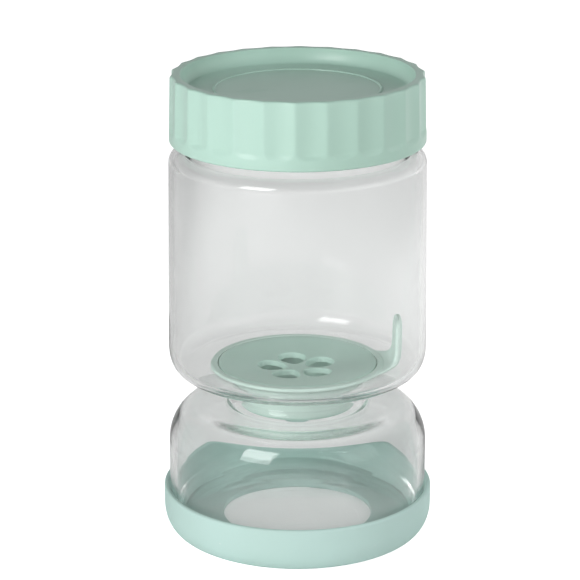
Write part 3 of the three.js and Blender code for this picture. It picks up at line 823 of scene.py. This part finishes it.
outwards, height, _, half_width, thickness = tab_sections[0]
foot_edge = [
    (outwards, half_width * (2 * column / TAB_COLUMNS - 1), height - thickness / 2)
    for column in range(TAB_COLUMNS + 1)
]
lift_tab = draw("lift_tab", foot_edge)
bpy.ops.mesh.select_all(action="SELECT")
bpy.ops.mesh.extrude_region_move(TRANSFORM_OT_translate={"value": (0, 0, thickness * MM)})
bpy.ops.mesh.select_all(action="SELECT")
for here, there in zip(tab_sections, tab_sections[1:]):
    outwards, height, tilt, half_width, thickness = there
    step = Vector((outwards - here[0], 0, height - here[1]))
    centre = Vector((outwards, 0, height)) * MM
    thicker, wider = thickness / here[4], half_width / here[3]
    bpy.ops.mesh.extrude_region_move(TRANSFORM_OT_translate={"value": step * MM})
    bpy.ops.transform.rotate(
        value=math.radians(tilt - here[2]), orient_axis="Y", center_override=centre
    )
    bpy.ops.transform.resize(value=(thicker, wider, thicker), center_override=centre)
bpy.ops.mesh.select_all(action="SELECT")
bpy.ops.mesh.normals_make_consistent(inside=False)
bpy.ops.object.mode_set(mode="OBJECT")
bpy.ops.object.modifier_add(type="SUBSURF")
softening = lift_tab.modifiers[-1]
softening.levels = softening.render_levels = TAB_SOFTNESS
bpy.ops.object.modifier_apply(modifier=softening.name)
for point in lift_tab.data.vertices:
    outwards, along, height = point.co
    point.co = (
        outwards * math.cos(along / outwards), outwards * math.sin(along / outwards), height
    )
combine(seal_ring, lift_tab, "UNION")
bpy.ops.object.mode_set(mode="EDIT")
finished(seal_ring, "strainer", "strainer_seal", crease=40)

# %% [markdown]
# The sleeve under the jar is a soft cup with a wide hole in its floor, through which the glass
# shows the table. Its rim is rounded over, and catches a thin line of light all round.

# %% Base sleeve
SLEEVE_HOLE = 30.0
SLEEVE_BORE, SLEEVE_WALL = 51.4, 2.0
SLEEVE_HEIGHT = 18.0
SLEEVE_CORNER = 10
SLEEVE_SIDE_FOOT, SLEEVE_SIDE_TOP = 11.5, 16
RIM_ROUNDING, HOLE_EDGE = 0.9, 0.5

sleeve_radius = SLEEVE_BORE + SLEEVE_WALL
corner_width = sleeve_radius - HEEL_INSET
rim_centre = SLEEVE_HEIGHT - RIM_ROUNDING
sleeve_outline = [
    *arc(SLEEVE_HOLE + HOLE_EDGE, HOLE_EDGE, HOLE_EDGE, HOLE_EDGE, 2, 3, 4),
    *arc(HEEL_INSET, SLEEVE_CORNER, corner_width, SLEEVE_CORNER, -1, 0, 20),
    *straight((sleeve_radius, SLEEVE_SIDE_FOOT), (sleeve_radius, SLEEVE_SIDE_TOP), 3),
    *arc(sleeve_radius - RIM_ROUNDING, rim_centre, RIM_ROUNDING, RIM_ROUNDING, 0, 1, 6),
    *arc(SLEEVE_BORE + RIM_ROUNDING, rim_centre, RIM_ROUNDING, RIM_ROUNDING, 1, 2, 6),
    *straight((SLEEVE_BORE, SLEEVE_SIDE_TOP), (SLEEVE_BORE, SLEEVE_SIDE_FOOT), 3),
    *arc(
        HEEL_INSET, SLEEVE_CORNER, corner_width - SLEEVE_WALL, SLEEVE_CORNER - SLEEVE_WALL,
        0, -1, 14,
    ),
    *arc(SLEEVE_HOLE + HOLE_EDGE, SLEEVE_WALL - HOLE_EDGE, HOLE_EDGE, HOLE_EDGE, 1, 2, 4),
    (SLEEVE_HOLE, HOLE_EDGE),
]
foot_sleeve = turned("foot_sleeve", sleeve_outline, steps=208)
finished(foot_sleeve, "base", "base_sleeve")

# %% [markdown]
# Moulded plastic and silicone are never quite even. A fine grain breaks up the gloss, slow drifts
# of tone follow the flow of the plastic, and handling leaves faint smudges. These three effects
# are used on every piece, so one node group makes them, and a second one makes the lint that
# settles on soft pieces. Both are built once and placed in each material with its own sizes. They
# read object coordinates, so nothing slides when a piece moves.

# %% Shared effects
DRIFT_RANGE = (0.3, 0.7)
SMUDGE_RANGE = (0.52, 0.72)
SPECK_EDGE = (0.06, 0.12)
RARE_CELLS = (0.86, 0.9)


def new_group(name, inputs, outputs):
    """A shader node group with number sockets. Returns the group, its nodes and its links."""
    group = bpy.data.node_groups.new(name, "ShaderNodeTree")
    for label, value in inputs.items():
        socket = group.interface.new_socket(label, in_out="INPUT", socket_type="NodeSocketFloat")
        socket.default_value = value
    for label in outputs:
        group.interface.new_socket(label, in_out="OUTPUT", socket_type="NodeSocketFloat")
    return group, group.nodes, group.links


def noise_of(nodes, links, source, scale, detail, roughness, stretch=(1, 1, 1)):
    """A noise texture over object coordinates, stretched along the axes."""
    spread = nodes.new("ShaderNodeMapping")
    spread.inputs["Scale"].default_value = stretch
    noise = nodes.new("ShaderNodeTexNoise")
    noise.inputs["Detail"].default_value = detail
    noise.inputs["Roughness"].default_value = roughness
    links.new(source, spread.inputs["Vector"])
    links.new(spread.outputs["Vector"], noise.inputs["Vector"])
    links.new(scale, noise.inputs["Scale"])
    return noise.outputs["Fac"]


moulded, nodes, links = new_group(
    "moulded_surface",
    {"Grain per Metre": 2500, "Drift per Metre": 22, "Smudge per Metre": 60},
    ["Grain", "Drift", "Smudge"],
)
source = nodes.new("NodeGroupInput")
result = nodes.new("NodeGroupOutput")
place = nodes.new("ShaderNodeTexCoord").outputs["Object"]
grain = noise_of(
    nodes, links, place, source.outputs["Grain per Metre"], detail=3, roughness=0.6
)
drift = noise_of(
    nodes, links, place, source.outputs["Drift per Metre"],
    detail=2, roughness=0.5, stretch=(1, 1, 0.5),
)
smudge = noise_of(
    nodes, links, place, source.outputs["Smudge per Metre"],
    detail=5, roughness=0.65, stretch=(1, 1, 0.7),
)
links.new(grain, result.inputs["Grain"])
links.new(fade(nodes, links, drift, DRIFT_RANGE), result.inputs["Drift"])
links.new(fade(nodes, links, smudge, SMUDGE_RANGE), result.inputs["Smudge"])

lint, nodes, links = new_group("settled_lint", {"Specks per Metre": 300}, ["Speck"])
source = nodes.new("NodeGroupInput")
result = nodes.new("NodeGroupOutput")
place = nodes.new("ShaderNodeTexCoord").outputs["Object"]
cells = nodes.new("ShaderNodeTexVoronoi")
cells.inputs["Randomness"].default_value = 1.0
links.new(place, cells.inputs["Vector"])
links.new(source.outputs["Specks per Metre"], cells.inputs["Scale"])
pick = nodes.new("ShaderNodeSeparateColor")
links.new(cells.outputs["Color"], pick.inputs["Color"])
small = fade(nodes, links, cells.outputs["Distance"], SPECK_EDGE, 1.0, 0.0)
rare = fade(nodes, links, pick.outputs["Red"], RARE_CELLS)
links.new(worked_out(nodes, links, "MULTIPLY", small, rare), result.inputs["Speck"])
print("shared effects:", moulded.name, "and", lint.name)

# %% [markdown]
# The moulded pieces all take the same kind of material and differ in their numbers: two close
# tones that the drift mixes, a roughness that smudges disturb, and the depth of the grain. The
# soft pieces also hold a little lint. Colours are linear values of what the eye sees as mint.

# %% Moulded materials
def tone(red, green, blue):
    """A colour of the screen, from 0 to 255, as the linear value that a shader takes."""
    shares = [value / 255 for value in (red, green, blue)]
    linear = [s / 12.92 if s <= 0.04045 else ((s + 0.055) / 1.055) ** 2.4 for s in shares]
    return (*linear, 1)


LINT_TONE = (0.85, 0.86, 0.84, 1)


def moulded_material(name, light, dark, gloss, smudged, grain_size, grain_depth, specks=0.0):
    """A satin or matt moulding. Grain size and depth are in millimetres."""
    material = bpy.data.materials.new(name)
    material.use_nodes = True
    nodes, links = material.node_tree.nodes, material.node_tree.links
    shader = nodes["Principled BSDF"]
    surface = nodes.new("ShaderNodeGroup")
    surface.node_tree = moulded
    surface.inputs["Grain per Metre"].default_value = 1 / (grain_size * MM)
    shade = nodes.new("ShaderNodeMix")
    shade.data_type = "RGBA"
    shade.inputs["A"].default_value = dark
    shade.inputs["B"].default_value = light
    links.new(surface.outputs["Drift"], shade.inputs["Factor"])
    dusty = nodes.new("ShaderNodeGroup")
    dusty.node_tree = lint
    dust_share = worked_out(nodes, links, "MULTIPLY", dusty.outputs["Speck"], specks)
    dusted = nodes.new("ShaderNodeMix")
    dusted.data_type = "RGBA"
    dusted.inputs["B"].default_value = LINT_TONE
    links.new(dust_share, dusted.inputs["Factor"])
    links.new(shade.outputs["Result"], dusted.inputs["A"])
    links.new(dusted.outputs["Result"], shader.inputs["Base Color"])
    links.new(
        fade(nodes, links, surface.outputs["Smudge"], (0, 1), gloss, smudged),
        shader.inputs["Roughness"],
    )
    relief = nodes.new("ShaderNodeBump")
    relief.inputs["Strength"].default_value = 1.0
    relief.inputs["Distance"].default_value = grain_depth * MM
    links.new(surface.outputs["Grain"], relief.inputs["Height"])
    links.new(relief.outputs["Normal"], shader.inputs["Normal"])
    return material


lid_mint = moulded_material(
    "lid_mint", tone(178, 210, 197), tone(172, 204, 190),
    gloss=0.3, smudged=0.4, grain_size=0.35, grain_depth=0.004,
)
plate_mint = moulded_material(
    "plate_mint", tone(188, 217, 206), tone(182, 211, 199),
    gloss=0.38, smudged=0.48, grain_size=0.3, grain_depth=0.005,
)
seal_pale = moulded_material(
    "seal_pale", tone(206, 226, 218), tone(200, 221, 212),
    gloss=0.5, smudged=0.6, grain_size=0.4, grain_depth=0.006, specks=0.3,
)
gasket_clear = moulded_material(
    "gasket_clear", tone(226, 233, 230), tone(220, 228, 224),
    gloss=0.45, smudged=0.55, grain_size=0.3, grain_depth=0.004, specks=0.3,
)
sleeve_matt = moulded_material(
    "sleeve_matt", tone(190, 218, 212), tone(185, 213, 206),
    gloss=0.62, smudged=0.7, grain_size=0.5, grain_depth=0.012, specks=0.4,
)
for piece, material in {
    lid_shell: lid_mint,
    lid_cap: lid_mint,
    strainer_disc: plate_mint,
    seal_ring: seal_pale,
    gasket_ring: gasket_clear,
    foot_sleeve: sleeve_matt,
}.items():
    piece.data.materials.clear()
    piece.data.materials.append(material)
    print(piece.name, "is made of", material.name)

# %% [markdown]
# Clear glass is nearly all refraction. What makes it look real is small: the faint green-grey of
# its body, slow waves from blowing that bend the reflections, and a trace of smudges. Lamps shine
# through the wall instead of being blocked by it, so the strainer inside is lit as in daylight.
# Light that enters the thick wall of the lower chamber is thrown back inside it many times, and
# each time counts as a bounce. The limits are raised for it, or the arcs there would turn black.

# %% Glass
BODY_TINT = (0.955, 0.965, 0.96, 1)
SHADOW_TINT = (0.975, 0.98, 0.978, 1)
BENDING = 1.48
SMUDGED = 0.03
WAVE_STRENGTH, WAVE_HEIGHT = 0.35, 0.2
WAVES_PER_METRE, SMUDGES_PER_METRE = 28, 45
BOUNCES, SENT_ON_BOUNCES = 40, 24

clear_glass = bpy.data.materials.new("clear_glass")
clear_glass.use_nodes = True
nodes, links = clear_glass.node_tree.nodes, clear_glass.node_tree.links
shader = nodes["Principled BSDF"]
shader.inputs["Base Color"].default_value = BODY_TINT
shader.inputs["IOR"].default_value = BENDING
shader.inputs["Transmission Weight"].default_value = 1.0
surface = nodes.new("ShaderNodeGroup")
surface.node_tree = moulded
surface.inputs["Drift per Metre"].default_value = WAVES_PER_METRE
surface.inputs["Smudge per Metre"].default_value = SMUDGES_PER_METRE
links.new(
    fade(nodes, links, surface.outputs["Smudge"], (0, 1), 0.0, SMUDGED), shader.inputs["Roughness"]
)
waves = nodes.new("ShaderNodeBump")
waves.inputs["Strength"].default_value = WAVE_STRENGTH
waves.inputs["Distance"].default_value = WAVE_HEIGHT * MM
links.new(surface.outputs["Drift"], waves.inputs["Height"])
links.new(waves.outputs["Normal"], shader.inputs["Normal"])
rays = nodes.new("ShaderNodeLightPath").outputs
open_to_light = worked_out(
    nodes, links, "MAXIMUM", rays["Is Shadow Ray"], rays["Is Diffuse Ray"]
)
clear = nodes.new("ShaderNodeBsdfTransparent")
clear.inputs["Color"].default_value = SHADOW_TINT
either = nodes.new("ShaderNodeMixShader")
links.new(open_to_light, either.inputs["Fac"])
links.new(shader.outputs["BSDF"], either.inputs[1])
links.new(clear.outputs["BSDF"], either.inputs[2])
links.new(either.outputs["Shader"], nodes["Material Output"].inputs["Surface"])
scene.cycles.max_bounces = BOUNCES
scene.cycles.glossy_bounces = scene.cycles.transmission_bounces = SENT_ON_BOUNCES
jar_glass.data.materials.clear()
jar_glass.data.materials.append(clear_glass)
print("glass bends light by", BENDING)
